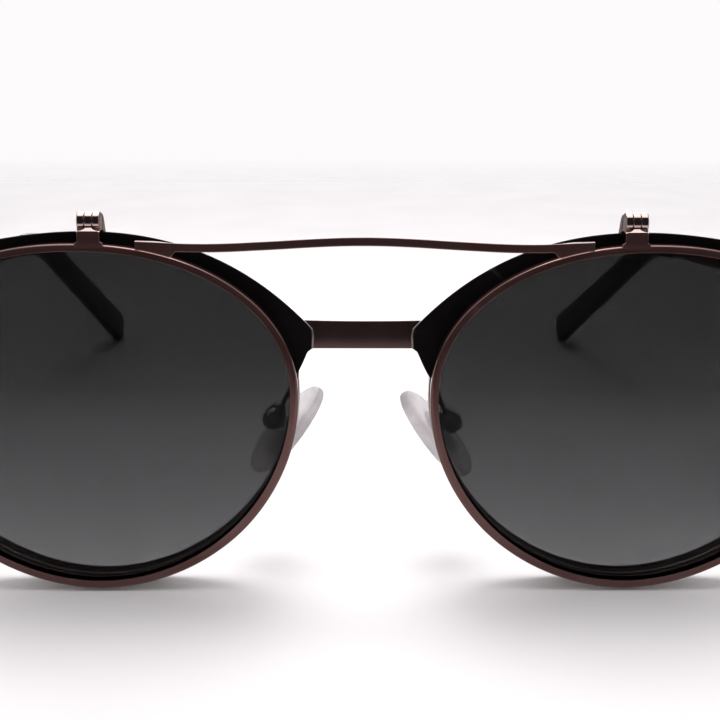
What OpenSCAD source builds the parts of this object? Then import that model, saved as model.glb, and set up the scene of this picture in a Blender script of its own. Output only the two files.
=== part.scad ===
// Round browline spectacles with a flip-up sunglass clip hooked over the brow.
// Millimetres. +X to the right as seen from the front, +Y from the front towards the ears, +Z up.
// Left and right in names are as seen from the front. The right half is modelled and mirrored.
// Local y = 0 is the front of the optical rims.

/* [Lens rims] */
// Distance between the centres of the two rims
rim_spacing = 71.9; // [71.1:0.2:73.1]
// Width of a rim over its outer edge
rim_width = 54.9; // [54.3:0.2:55.5]
// Height of a rim above its widest line
rim_rise = 19.45; // [19.25:0.05:19.55]
// Height of a rim below its widest line
rim_drop = 27.35; // [27.05:0.05:27.5]
// How far the rim's top leans outwards, per millimetre of height
rim_lean = 0.03; // [0:0.01:0.05]
// Width of the optical rim's face
rim_face = 1.15; // [1:0.05:1.3]
// Depth of the optical rim from front to back
rim_depth = 2.6; // [2.4:0.1:3]

/* [Lenses] */
// Radius of the lens curve
lens_curve = 300; // [260:10:400]
// Thickness of the clear lens
clear_lens_t = 1.2; // [1:0.1:1.3]
// Thickness of the tinted lens
sun_lens_t = 0.75; // [0.6:0.05:0.8]

/* [Brow and bridge] */
// Thickness of the brow piece in front of the rim
brow_skin = 0.9; // [0.7:0.1:1]
// Height of the bridge bar
bridge_h = 3.8; // [3:0.1:3.9]
// Height of the middle of the bridge above the table
bridge_z = 34.5; // [34:0.1:34.8]

/* [Clip] */
// Width of the clip rim's face
clip_face = 1.1; // [1:0.05:1.2]
// Depth of the clip rim from front to back
clip_depth = 1.65; // [1.6:0.05:1.7]
// Height of the brow bar's section
bar_h = 1.05; // [0.9:0.05:1.2]
// Half-length of the brow bar
bar_reach = 28.7; // [27.9:0.2:30.1]
// Distance of each flip hinge from the middle
hinge_x = 34.6; // [34:0.2:36]
// Radius of the flip hinge's knuckles
knuckle_r = 1.2; // [1.1:0.05:1.2]

/* [Nose pads] */
// Length of a nose pad
pad_len = 15.2; // [14.4:0.2:15.6]
// Lean of the pads seen from the front, in degrees
pad_tilt = 39; // [36:1:41]
// Turn of the pads towards the wearer, in degrees
pad_splay = 20; // [15:1:25]

/* [Temples] */
// Lean of the temples towards each other, in degrees
temple_lean = 6.4; // [5:0.1:7]
// How much further in the right temple rests, and further out the left one, in degrees
temple_skew = 1.5; // [0:0.1:2]
// Fall of the temple's straight part, in degrees
temple_fall = 4; // [3:0.5:6]
// Fall of the temple behind the ear, in degrees
ear_fall = 28.5; // [26:0.5:32]

/* [Hidden] */
$fn = 48;

// Rims: the optical rims stand on the table, the clip hangs just clear of it
rim_x = rim_spacing / 2;
rim_z = rim_drop;
rim_side = rim_x + rim_width / 2;
rise_power = 2.12;
drop_power = 1.94;
clip_gap = 0.2;
clip_z = rim_z + clip_gap;
clip_back = -1.25;
clip_front = clip_back - clip_depth;
rim_steps = 96;
groove_at = 0.6;
lens_at = 0.65;

// Spherical lenses: front apexes, and the grooves that hold their edges
clear_apex = -0.3;
clear_groove = [0.25, 2.3];
sun_apex = clip_front - 0.5;
sun_groove = [clip_front + 0.1, clip_back - 0.1];

// Closing block of each optical rim, split by a slit
slit_z = 28.7;
slit_h = 0.3;
block_x = rim_side + 1;
block_h = 2.2;
block_y = 1.3;
rim_screw_r = 0.5;

// Brow: a curve over the top, and the corners at its two ends
brow_top = [[6.5, 35.55], [23.9, 54.7], [46.4, 48.1], [67.8, 41.6]];
brow_steps = 32;
brow_temporal = [[68, 40.4], [67.5, 36.3], [63.5, 33.2], [52, 31.5]];
brow_nasal = [[14, 31.2], [8.5, 29.4], [7.05, 32.5], [6.45, 32.9], [6.35, 34.6]];
brow_back = rim_depth;
screw_spots = [[10.5, 37.2], [58.5, 41.6]];
brow_screw_r = 0.45;
lug_t = 0.6;
lug_r = 1.25;

// Bridge: a flat bar let into the back of both brows
bridge_y = [0.6, 2];

// Temple hinge
hinge_at = [65.6, 8.2];
leaf_h = 3.6;
leaf_z = 36.2;
knuckle_gap = 0.06;
temple_knuckle_r = 1.1;
temple_pin_r = 0.6;
running = 0.05;
side_x = 66.8;
side_t = 1.2;
leaf_x = 65.9;
butt_gap = 0.1;
endpiece_x = 60.6;
rivet_spots = [[62.2, 38], [64.8, 38]];
rivet_r = 0.5;

// Temple: straight, then a smooth bend, then straight down behind the ear
temple_z = leaf_z + leaf_h / 2;
bend_from = 68;
bend_to = 84;
tip_from = 66;
core_end = 122;
tip_t = 2.4;
tip_half = [2, 3.05];
arm_half = [1.8, 1.5];
core_half = 0.8;
temple_step = 2;

// Nose pads
pad_at = [10.9, 11, 17.65];
pad_half_w = 3.7;
pad_t = 2;
pad_pivot = [3.2, 0, 1.4];
pad_box_r = 1.65;
pad_box_w = 2.8;
pad_slot_w = 1.1;
pad_lug_w = 0.9;
pad_lug_r = 0.95;
pad_pin_r = 0.4;
arm_r = 0.5;
arm_root = [9.2, 2.3, 26.8];

// Flip hinge and hooks
flip_y = -1.4;
flip_z = 49.55;
flip_pin_r = 0.45;
hook_w = 2.95;
centre_w = 0.94;
hook_z = 48.3;
hook_t = 0.7;
leg_y = [2.95, 3.55];
leg_z = 45.4;
sleeve_h = 3;
sleeve_wall = 0.3;

// Depth of the brow bar
bar_t = 0.9;

bronze = [0.42, 0.33, 0.31];
rose = [0.62, 0.48, 0.44];
black = [0.07, 0.07, 0.08];
steel = [0.7, 0.7, 0.72];

// A point of the rim outline, moved inwards by d. The rim is a little flat on top and pointed below
function bow(v, power) = sign(v) * pow(abs(v), 2 / power);
function rim_edge(t) =
    let (up = sin(t) > 0, power = up ? rise_power : drop_power)
    let (z = (up ? rim_rise : rim_drop) * bow(sin(t), power))
    [rim_width / 2 * bow(cos(t), power) + rim_lean * z, z];
function rim_point(t, d) =
    let (along = rim_edge(t + 1) - rim_edge(t - 1))
    rim_edge(t) - d * [along.y, -along.x] / norm(along);
function rim_outline(d) = [for (i = [0:rim_steps - 1]) rim_point(360 * i / rim_steps, d)];

// A cubic curve through its first and last points
function bezier(p, t) =
    pow(1 - t, 3) * p[0] + 3 * t * pow(1 - t, 2) * p[1] + 3 * t * t * (1 - t) * p[2] + pow(t, 3) * p[3];
function bezier_curve(p, n) = [for (i = [0:n]) bezier(p, i / n)];

// A point of the temple's centre line at distance s from the hinge
function temple_angle(s) =
    -temple_fall - (ear_fall - temple_fall) * min(max((s - bend_from) / (bend_to - bend_from), 0), 1);
function temple_line(s, n = 0, p = [0, 0]) =
    n * temple_step >= s ? p
    : let (ds = min(temple_step, s - n * temple_step), a = temple_angle(n * temple_step + ds / 2))
      temple_line(s, n + 1, p + ds * [cos(a), sin(a)]);
function temple_side(s, half, side) =
    temple_line(s) + side * half * [-sin(temple_angle(s)), cos(temple_angle(s))];

// The tip ends where its round end just touches the table
tip_end = bend_to + (temple_z + temple_line(bend_to).y - tip_half[1]) / sin(ear_fall);

// The origin is under the middle of the box round the opened spectacles
front_y = clip_front - bar_t;
rest_lean = temple_lean - temple_skew;
rear_y = hinge_at.y + butt_gap * cos(temple_skew) - (side_x - hinge_at.x) * sin(temple_skew)
    + (temple_line(tip_end).x + tip_half[1]) * cos(rest_lean) + (side_t + tip_t) / 2 * sin(rest_lean);
mid_y = (front_y + rear_y) / 2;

// A point given in the nose pad's own frame
function turn_y(p, a) = [p.x * cos(a) + p.z * sin(a), p.y, p.z * cos(a) - p.x * sin(a)];
function turn_z(p, a) = [p.x * cos(a) - p.y * sin(a), p.x * sin(a) + p.y * cos(a), p.z];
function pad_point(p) = pad_at + turn_y(turn_z(p, -pad_splay), -pad_tilt);

module place() translate([0, -mid_y, 0]) children();
module left() mirror([1, 0, 0]) children();

// A drawing in x and z, given depth from y0 to y1
module slab(y0, y1) translate([0, y1, 0]) rotate([90, 0, 0]) linear_extrude(y1 - y0) children();
// A drawing in y and z, given width from x0 to x1
module side_slab(x0, x1) translate([x0, 0, 0]) rotate([90, 0, 90]) linear_extrude(x1 - x0) children();
// A box between two corners
module block(a, b) translate(a) cube(b - a);
// A straight rod along x, y or z
module rod_x(r, x0, x1, y, z) translate([x0, y, z]) rotate([0, 90, 0]) cylinder(r = r, h = x1 - x0);
module rod_y(r, y0, y1, x, z) translate([x, y1, z]) rotate([90, 0, 0]) cylinder(r = r, h = y1 - y0);
module rod_z(r, z0, z1, x, y) translate([x, y, z0]) cylinder(r = r, h = z1 - z0);

// The area inside the rim's outer edge, less d all round
module rim_area(d, z) translate([rim_x, z]) polygon(rim_outline(d));

module grooved_ring(y0, y1, face, groove, z) {
    difference() {
        slab(y0, y1) rim_area(0, z);
        slab(y0 - 1, y1 + 1) rim_area(face, z);
        slab(groove[0], groove[1]) rim_area(groove_at, z);
    }
}

module curved_lens(apex, t, z) {
    intersection() {
        slab(apex - 1, apex + 4) rim_area(lens_at, z);
        difference() {
            translate([rim_x, apex + lens_curve, z]) sphere(r = lens_curve, $fn = 360);
            translate([rim_x, apex + lens_curve + t, z]) sphere(r = lens_curve, $fn = 360);
        }
    }
}

module rim() color(bronze) {
    difference() {
        union() {
            grooved_ring(0, rim_depth, rim_face, clear_groove, rim_z);
            for (z = [slit_z - block_h, slit_z + slit_h])
                block([rim_side - 0.45, block_y - 0.9, z], [block_x + 1.1, block_y + 0.9, z + block_h]);
            intersection() {
                slab(rim_depth, rim_depth + lug_t) union() {
                    translate(screw_spots[0]) circle(r = lug_r);
                    translate(screw_spots[0] - [0, 1]) square([2.6, 2]);
                    translate(screw_spots[1]) circle(r = lug_r);
                    translate(screw_spots[1] - [6, 1]) square([6, 2]);
                }
                difference() {
                    block([0, 0, 0], [80, 10, 60]);
                    slab(0, 10) rim_area(rim_face - 0.2, rim_z);
                }
            }
        }
        block([rim_side - 4, -1, slit_z], [rim_side + 3, rim_depth + 1, slit_z + slit_h]);
        rod_z(rim_screw_r, slit_z - block_h - 1, slit_z + block_h + 1, block_x, block_y);
        for (s = screw_spots) rod_y(brow_screw_r, rim_depth - 0.1, rim_depth + 2, s.x, s.y);
    }
}

module rim_screw() color(steel) {
    top = slit_z + slit_h + block_h;
    rod_z(rim_screw_r, slit_z - block_h, top, block_x, block_y);
    rod_z(0.9, top, top + 0.6, block_x, block_y);
}

module clear_lens() color([0.9, 0.95, 1, 0.4]) curved_lens(clear_apex, clear_lens_t, rim_z);

module brow_area() polygon(concat(bezier_curve(brow_top, brow_steps), brow_temporal, brow_nasal));

module brow() color(black) {
    difference() {
        slab(-brow_skin, brow_back) brow_area();
        slab(0, brow_back + 1) rim_area(0, rim_z);
        slab(-brow_skin - 1, 1) rim_area(rim_face - 0.1, rim_z);
        slab(bridge_y[0], brow_back + 1) translate([0, bridge_z - bridge_h / 2]) square([16, bridge_h]);
        for (s = screw_spots) rod_y(brow_screw_r, 0.2, brow_back + 1, s.x, s.y);
        for (s = rivet_spots) rod_y(rivet_r, 0.2, brow_back + 1, s.x, s.y);
    }
}

module brow_screws() color(steel) {
    for (s = screw_spots) {
        rod_y(brow_screw_r, 0.2, rim_depth + lug_t, s.x, s.y);
        rod_y(0.85, rim_depth + lug_t, rim_depth + lug_t + 0.5, s.x, s.y);
    }
}

module bridge_half() {
    difference() {
        slab(bridge_y[0], bridge_y[1]) translate([0, bridge_z - bridge_h / 2]) square([16, bridge_h]);
        slab(-1, rim_depth + 1) rim_area(0, rim_z);
    }
}
module bridge() color(bronze) {
    bridge_half();
    left() bridge_half();
}

// The joint between brow, temple and their hinge
module endpiece() color(bronze) {
    difference() {
        union() {
            block([endpiece_x, brow_back, leaf_z], [side_x + side_t, brow_back + 1, leaf_z + leaf_h]);
            block([side_x, brow_back, leaf_z], [side_x + side_t, hinge_at.y - butt_gap, leaf_z + leaf_h]);
        }
        for (s = rivet_spots) rod_y(rivet_r, 0, 10, s.x, s.y);
    }
}
module endpiece_rivets() color(steel) {
    for (s = rivet_spots) {
        rod_y(rivet_r, 0.2, brow_back + 1, s.x, s.y);
        rod_y(0.85, brow_back + 1, brow_back + 1.4, s.x, s.y);
    }
}

// One knuckle of the temple hinge with the web that joins it to its leaf
module temple_knuckle(part, web_x1, web_y0, web_y1, bore_r) {
    h = leaf_h / 3 - knuckle_gap;
    z = leaf_z + part * leaf_h / 3 + knuckle_gap / 2;
    difference() {
        union() {
            rod_z(temple_knuckle_r, z, z + h, hinge_at.x, hinge_at.y);
            block([hinge_at.x, web_y0, z], [web_x1, web_y1, z + h]);
        }
        rod_z(bore_r, z - 1, z + h + 1, hinge_at.x, hinge_at.y);
    }
}
module front_leaf() color(rose) {
    block([leaf_x, brow_back + 1.2, leaf_z], [side_x, hinge_at.y - 1.25, leaf_z + leaf_h]);
    for (part = [0, 2])
        temple_knuckle(part, side_x, hinge_at.y - 1.6, hinge_at.y - butt_gap, temple_pin_r);
}
module temple_leaf() color(rose) {
    temple_place() block([leaf_x - side_x, 1.2, -1.6], [0, 5, 1.2]);
    temple_knuckle(1, side_x - 0.2, hinge_at.y + butt_gap, hinge_at.y + 1.6, temple_pin_r + running);
}
module hinge_screw() color(steel) {
    rod_z(temple_pin_r, leaf_z - 0.2, leaf_z + leaf_h, hinge_at.x, hinge_at.y);
    rod_z(0.95, leaf_z + leaf_h, leaf_z + leaf_h + 0.5, hinge_at.x, hinge_at.y);
}

// A temple at rest, turned inwards by some degrees about its hinge
module turned_in(turn) translate(hinge_at) rotate(turn) translate(-hinge_at) children();

// Everything on the temple is drawn along its line and leans inwards with it
module temple_place() translate([side_x, hinge_at.y + butt_gap, temple_z]) rotate([0, 0, temple_lean]) children();
module temple_band(s0, s1, half0, half1, round_end = false) {
    n = ceil((s1 - s0) / (2 * temple_step));
    s = [for (i = [0:n]) s0 + (s1 - s0) * i / n];
    half = [for (i = [0:n]) half0 + (half1 - half0) * i / n];
    end = temple_angle(s1);
    polygon(concat(
        [for (i = [0:n]) temple_side(s[i], half[i], 1)],
        [for (a = [75:-15:-75]) if (round_end) temple_line(s1) + half1 * [cos(end + a), sin(end + a)]],
        [for (i = [n:-1:0]) temple_side(s[i], half[i], -1)]
    ));
}
module temple_core() {
    side_slab(0.15, side_t - 0.15) temple_band(tip_from - 0.5, core_end, core_half, core_half);
}
module temple_arm() color(bronze) temple_place() {
    difference() {
        side_slab(0, side_t) temple_band(0, tip_from, arm_half[0], arm_half[1]);
        block([-1, -1, -5], [side_t + 1, 0, 5]);
    }
    temple_core();
}
module temple_tip() color(black) temple_place() {
    mid = side_t / 2;
    difference() {
        side_slab(mid - tip_t / 2, mid + tip_t / 2)
            temple_band(tip_from, tip_end, tip_half[0], tip_half[1], round_end = true);
        temple_core();
    }
}

// Nose pads, drawn in their own frame: x away from the nose, y along the screw, z along the pad
module pad_place() translate(pad_at) rotate([0, -pad_tilt, 0]) rotate([0, 0, -pad_splay]) children();
module pad_area(scale_by) {
    polygon([for (i = [0:35]) let (t = 10 * i)
        scale_by * [pad_half_w * sin(t) * (1 - 0.16 * cos(t)), pad_len / 2 * cos(t)]]);
}
module pad_core_plate() side_slab(-0.3, 0.3) pad_area(0.5);
module nose_pad() color([0.85, 0.9, 0.92, 0.6]) pad_place() {
    difference() {
        side_slab(-pad_t / 2, pad_t / 2) pad_area(1);
        pad_core_plate();
        block([0, -pad_lug_w / 2, pad_pivot.z - 0.9], [2, pad_lug_w / 2, pad_pivot.z + 0.9]);
    }
}
module pad_core() color([0.8, 0.84, 0.86]) pad_place() {
    difference() {
        union() {
            pad_core_plate();
            block([0, -pad_lug_w / 2, pad_pivot.z - 0.9], [pad_pivot.x, pad_lug_w / 2, pad_pivot.z + 0.9]);
            rod_y(pad_lug_r, -pad_lug_w / 2, pad_lug_w / 2, pad_pivot.x, pad_pivot.z);
        }
        rod_y(pad_pin_r + running, -2, 2, pad_pivot.x, pad_pivot.z);
    }
}
module pad_box() color(black) pad_place() {
    difference() {
        rod_y(pad_box_r, -pad_box_w / 2, pad_box_w / 2, pad_pivot.x, pad_pivot.z);
        block([-1, -pad_slot_w / 2, pad_pivot.z - 3], [pad_pivot.x, pad_slot_w / 2, pad_pivot.z + 3]);
        rod_y(pad_lug_r + 0.15, -pad_slot_w / 2, pad_slot_w / 2, pad_pivot.x, pad_pivot.z);
        rod_y(pad_pin_r, -2, 2, pad_pivot.x, pad_pivot.z);
    }
}
module pad_screw() color(steel) pad_place() {
    rod_y(pad_pin_r, -pad_box_w / 2, pad_box_w / 2, pad_pivot.x, pad_pivot.z);
    rod_y(0.8, -pad_box_w / 2 - 0.4, -pad_box_w / 2, pad_pivot.x, pad_pivot.z);
}

// A round wire swept along a curve
module wire(path, r) {
    sides = 12;
    n = len(path) - 1;
    along = [for (i = [0:n]) path[min(i + 1, n)] - path[max(i - 1, 0)]];
    u = [for (i = [0:n]) let (c = cross(along[i], [1, 0, 0])) c / norm(c)];
    v = [for (i = [0:n]) let (c = cross(along[i], u[i])) c / norm(c)];
    points = [for (i = [0:n]) for (k = [0:sides - 1]) let (a = 360 * k / sides)
        path[i] + r * (cos(a) * u[i] + sin(a) * v[i])];
    polyhedron(points, concat(
        [[for (k = [0:sides - 1]) k]],
        [for (i = [0:n - 1]) for (k = [0:sides - 1])
            [i * sides + k, (i + 1) * sides + k, (i + 1) * sides + (k + 1) % sides, i * sides + (k + 1) % sides]],
        [[for (k = [sides - 1:-1:0]) n * sides + k]]
    ));
}
module pad_arm() color(bronze) {
    socket = pad_point(pad_pivot + [pad_box_r - 0.15, 0, 0]);
    path = [arm_root, arm_root + [0.2, 3.6, 0.6], socket + [1, -0.9, 2.8], socket];
    wire(bezier_curve(path, 14), arm_r);
}

// The hook that straddles the brow, with the two outer knuckles of the flip hinge
module hook() color(rose) {
    x0 = hinge_x - hook_w / 2;
    x1 = hinge_x + hook_w / 2;
    difference() {
        union() {
            block([x0, flip_y - 0.25, hook_z], [x1, leg_y[1], hook_z + hook_t]);
            block([x0, flip_y - 0.25, hook_z - 1.05], [x1, flip_y + 0.35, hook_z + 0.1]);
            block([x0, leg_y[0], leg_z], [x1, leg_y[1], hook_z + hook_t]);
            rod_x(knuckle_r, x0, x1, flip_y, flip_z);
        }
        rod_x(knuckle_r + 0.1, hinge_x - centre_w / 2 - 0.06, hinge_x + centre_w / 2 + 0.06, flip_y, flip_z);
        rod_x(flip_pin_r, x0 - 1, x1 + 1, flip_y, flip_z);
    }
}
module hook_sleeve() color(black) {
    x0 = hinge_x - hook_w / 2;
    x1 = hinge_x + hook_w / 2;
    difference() {
        block([x0 - sleeve_wall, leg_y[0] - sleeve_wall, leg_z - sleeve_wall],
              [x1 + sleeve_wall, leg_y[1] + sleeve_wall, leg_z - sleeve_wall + sleeve_h]);
        block([x0, leg_y[0], leg_z], [x1, leg_y[1], leg_z + sleeve_h]);
    }
}
module flip_pin() color(rose) {
    rod_x(flip_pin_r, hinge_x - hook_w / 2 - 0.1, hinge_x + hook_w / 2 + 0.1, flip_y, flip_z);
}

// The clip's own leaf: one knuckle, a tongue and a T-shaped flange standing on the clip rim
module flip_leaf() color(rose) {
    wide = hook_w / 2 - 0.05;
    front = clip_front - 0.4;
    difference() {
        union() {
            rod_x(knuckle_r, hinge_x - centre_w / 2, hinge_x + centre_w / 2, flip_y, flip_z);
            side_slab(hinge_x - centre_w / 2, hinge_x + centre_w / 2)
                polygon([[-1, 49], [-1.9, 50.4], [front, 49], [front, 48.1], [-2.5, 48.1]]);
            block([hinge_x - wide, front, 48.1], [hinge_x + wide, -2.45, 48.95]);
            block([hinge_x - wide, clip_front, 46], [hinge_x + wide, clip_front + 0.7, 48.2]);
        }
        slab(clip_front - 1, clip_back + 1) rim_area(0, clip_z);
        rod_x(flip_pin_r + running, hinge_x - 3, hinge_x + 3, flip_y, flip_z);
    }
}

module clip_rim() color(bronze) grooved_ring(clip_front, clip_back, clip_face, sun_groove, clip_z);
module sun_lens() color([0.2, 0.2, 0.21, 0.8]) curved_lens(sun_apex, sun_lens_t, clip_z);

// A gently waved bar across the front of both clip rims
function bar_z(x) = 46.81 + 0.44 * cos(180 * x / 18.75);
module brow_bar() color(bronze) {
    x = [for (i = [-24:24]) bar_reach * i / 24];
    slab(clip_front - bar_t, clip_front) polygon(concat(
        [for (i = [0:48]) [x[i], bar_z(x[i]) + bar_h / 2]],
        [for (i = [48:-1:0]) [x[i], bar_z(x[i]) - bar_h / 2]]
    ));
}

place() left() rim();  // left_rim
place() rim();  // right_rim
place() left() rim_screw();  // left_rim_screw
place() rim_screw();  // right_rim_screw
place() left() clear_lens();  // left_clear_lens
place() clear_lens();  // right_clear_lens
place() left() brow();  // left_brow
place() brow();  // right_brow
place() left() brow_screws();  // left_brow_screws
place() brow_screws();  // right_brow_screws
place() bridge();
place() left() pad_arm();  // left_pad_arm
place() pad_arm();  // right_pad_arm
place() left() pad_box();  // left_pad_box
place() pad_box();  // right_pad_box
place() left() pad_screw();  // left_pad_screw
place() pad_screw();  // right_pad_screw
place() left() pad_core();  // left_pad_core
place() pad_core();  // right_pad_core
place() left() nose_pad();  // left_nose_pad
place() nose_pad();  // right_nose_pad
place() left() endpiece();  // left_endpiece
place() endpiece();  // right_endpiece
place() left() endpiece_rivets();  // left_endpiece_rivets
place() endpiece_rivets();  // right_endpiece_rivets
place() left() front_leaf();  // left_front_leaf
place() front_leaf();  // right_front_leaf
place() left() hinge_screw();  // left_hinge_screw
place() hinge_screw();  // right_hinge_screw
place() left() turned_in(-temple_skew) temple_leaf();  // left_temple_leaf
place() turned_in(temple_skew) temple_leaf();  // right_temple_leaf
place() left() turned_in(-temple_skew) temple_arm();  // left_temple_arm
place() turned_in(temple_skew) temple_arm();  // right_temple_arm
place() left() turned_in(-temple_skew) temple_tip();  // left_temple_tip
place() turned_in(temple_skew) temple_tip();  // right_temple_tip
place() left() hook();  // left_hook
place() hook();  // right_hook
place() left() hook_sleeve();  // left_hook_sleeve
place() hook_sleeve();  // right_hook_sleeve
place() left() flip_pin();  // left_flip_pin
place() flip_pin();  // right_flip_pin
place() left() clip_rim();  // left_clip_rim
place() clip_rim();  // right_clip_rim
place() left() sun_lens();  // left_sun_lens
place() sun_lens();  // right_sun_lens
place() brow_bar();
place() left() flip_leaf();  // left_flip_leaf
place() flip_leaf();  // right_flip_leaf
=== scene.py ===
import math

import bmesh
import bpy
import numpy as np
from mathutils import Matrix, Vector


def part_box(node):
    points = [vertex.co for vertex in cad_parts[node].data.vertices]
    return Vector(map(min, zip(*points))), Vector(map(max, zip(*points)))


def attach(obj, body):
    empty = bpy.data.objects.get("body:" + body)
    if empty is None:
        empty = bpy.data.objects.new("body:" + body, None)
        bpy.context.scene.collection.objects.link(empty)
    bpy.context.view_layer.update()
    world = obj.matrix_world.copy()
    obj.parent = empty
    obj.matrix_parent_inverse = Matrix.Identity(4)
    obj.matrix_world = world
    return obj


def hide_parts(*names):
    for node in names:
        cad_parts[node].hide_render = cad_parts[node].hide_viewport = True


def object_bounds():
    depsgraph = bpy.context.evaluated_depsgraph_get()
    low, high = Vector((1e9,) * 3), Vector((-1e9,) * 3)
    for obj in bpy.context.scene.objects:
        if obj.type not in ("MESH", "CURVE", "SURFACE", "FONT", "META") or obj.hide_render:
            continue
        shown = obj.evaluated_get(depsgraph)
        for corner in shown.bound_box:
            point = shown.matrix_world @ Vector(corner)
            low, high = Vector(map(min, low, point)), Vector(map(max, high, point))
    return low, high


# Looks of the browline spectacles with a flip-up clip, in metres in the row frame.
# Left and right are as seen from the front, -X and +X.

MM = 0.001
SIDES = {"left": -1, "right": 1}

# Rim outline: a little flat on top, pointed below
WIDEST = 27.35 / 46.8       # height of the widest line, as a share of the rim's height
LEAN = 0.03                 # how far the top leans outwards
RISE_POWER = 2.12
DROP_POWER = 1.94
RIM_STEPS = 288

# The two rims: faces, depths, grooves from the front, edge radii
RIM_FACE = 1.15 * MM
RIM_DEPTH = 2.6 * MM
RIM_GROOVE = (0.3 * MM, 2.3 * MM)
RIM_EDGE_R = 0.12 * MM
CLIP_FACE = 1.1 * MM
CLIP_LIP = 0.15 * MM
CLIP_INNER_R = 0.22 * MM
CLIP_OUTER_R = 0.5 * MM
GROOVE_DEPTH = 0.5 * MM
GROOVE_EDGE_R = 0.05 * MM

# Closing blocks and lugs of the spectacle's rim in mm: y from the rim's front, z from its foot
BLOCK_H = 2.2
BLOCK_DEPTH = (0.4, 2.2)
BLOCK_BEVEL = 0.12
BLOCK_FEET = (26.5, 29)
BLOCK_REACH = 2.6
LUG_DEPTH = (2.5, 3.2)
LUGS = (((9.8, 13), (34.6, 36.2)), ((52.6, 59.6), (40.5, 42.8)))

# Lenses
LENS_INSET = 0.65 * MM
LENS_CURVE = 300 * MM
CLEAR_T = 1.2 * MM
SUN_T = 0.75 * MM

# Brow: front skin in front of the optical rim, and a body outside it whose top falls to the back
SKIN_INSET = 1.05 * MM
BROW_SKIN = 0.9 * MM
BROW_FALL = 1.2 * MM
BROW_EDGE_R = 0.35 * MM
BROW_STEP = 0.4 * MM
BROW_TOP = ((6.5, 35.55), (23.9, 54.7), (46.4, 48.1), (67.8, 41.6))
BROW_SHIFT = -0.25          # the pair of brows sits a little to the left of the clip by the bridge
BROW_OUTER_END = ((68, 40.4), (67.5, 36.3), (63.5, 33.2), (62.9, 32.6))
BROW_INNER_END = ((8.9, 29.0), (8.5, 29.4), (7.05, 32.5), (6.45, 32.9), (6.35, 34.6))

# The thin lighter line round a brow's shoulder, a painted highlight: its radius, how far it lies inwards and
# behind the front
SHOULDER_R = 0.16 * MM
SHOULDER_IN = 0.07 * MM
SHOULDER_BACK = 0.13 * MM

# Small screws that hold the brow from behind: x and z of each, shank and head radius, head height
SCREW_SPOTS = {"in": (11.1, 35.4), "out": (57.9, 40.9)}
SCREW_R = 0.45
SCREW_HEAD_R = 0.7
SCREW_HEAD_H = 0.5

# Bridge
BRIDGE_REACH = 9.4 * MM
BRIDGE_TALLER = 0.05 * MM
BRIDGE_HOLLOW = 0.16 * MM
BRIDGE_FALL = 0.5 * MM
BRIDGE_EDGE_R = 0.15 * MM

# Brow bar: a wave, sitting a little high on the clip and drooping outwards to its feet on the rims
BAR_HALF_H = 0.58 * MM
BAR_WAVE = 0.37 * MM
BAR_HALF_WAVE = 18.75 * MM
BAR_MARGIN = 0.38 * MM
BAR_LIFT = 0.21 * MM
BAR_DROOP = 0.28 * MM
BAR_DROOP_FROM = 14 * MM
BAR_FALL = 0.36 * MM
BAR_FALL_ENDS = (22.5 * MM, 26 * MM)
BAR_FOOT = (23.8 * MM, 24.3 * MM)
BAR_SINK = 0.05 * MM
BAR_EDGE_R = 0.16 * MM

# Temple in mm and degrees along its own line: straight, a bend, then down behind the ear
TEMPLE_LEAN = 6.4
TEMPLE_SKEW = {"left": -1.5, "right": 1.5}
TEMPLE_FALL = 4
EAR_FALL = 28.5
BEND = (68, 84)
ARM_T = 1.2
ARM_HALF = (1.8, 1.5)
ARM_EDGE_R = 0.35
TIP_FROM = 66
TIP_END = 137.992
TIP_HALF = (2, 3.05)
TIP_HALF_T = 1.2
TIP_EDGE_R = 0.95

# Nose pads in their own frame, in mm and degrees, and how far each cup and pad sits off its CAD place
PAD_TILT = 39
PAD_SPLAY = 20
PAD_LEN = 15.2
PAD_HALF_W = 3.7
PAD_T = 2
PAD_TAPER = 0.16
PAD_SWELL = ((0.0, 1.0), (0.3, 1.0), (0.55, 0.985), (0.75, 0.95),
             (0.88, 0.86), (0.95, 0.7), (0.985, 0.45), (1.0, 0.2))
CUP_SHIFT = {"left": Vector((0, 0, -0.3)) * MM, "right": Vector((0, 0, -0.75)) * MM}
PAD_SHIFT = {"left": Vector((0.25, 0, 0.6)) * MM, "right": Vector((-0.5, 0, 0)) * MM}

# The cup behind a pad, as distances along its axis and radii, and the wire that carries it
CUP_PROFILE = ((-0.9, 0.3), (-0.9, 1.45), (-0.65, 1.72), (0.5, 1.75), (0.8, 1.62),
               (0.86, 1.4), (0.78, 1.22), (0.3, 1.1), (0.22, 0.3))
WIRE_R = 0.36 * MM
WIRE_ROOT = Vector((9.3, 0, 26.6)) * MM
WIRE_ROOT_BACK = 2.4 * MM
WIRE_LEAVES = Vector((0.2, 2.2, 0.1)) * MM
WIRE_ARRIVES = Vector((-0.7, -1.6, 2.2)) * MM
WIRE_SOCKET = (0.1, -0.2, 1.4)

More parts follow.
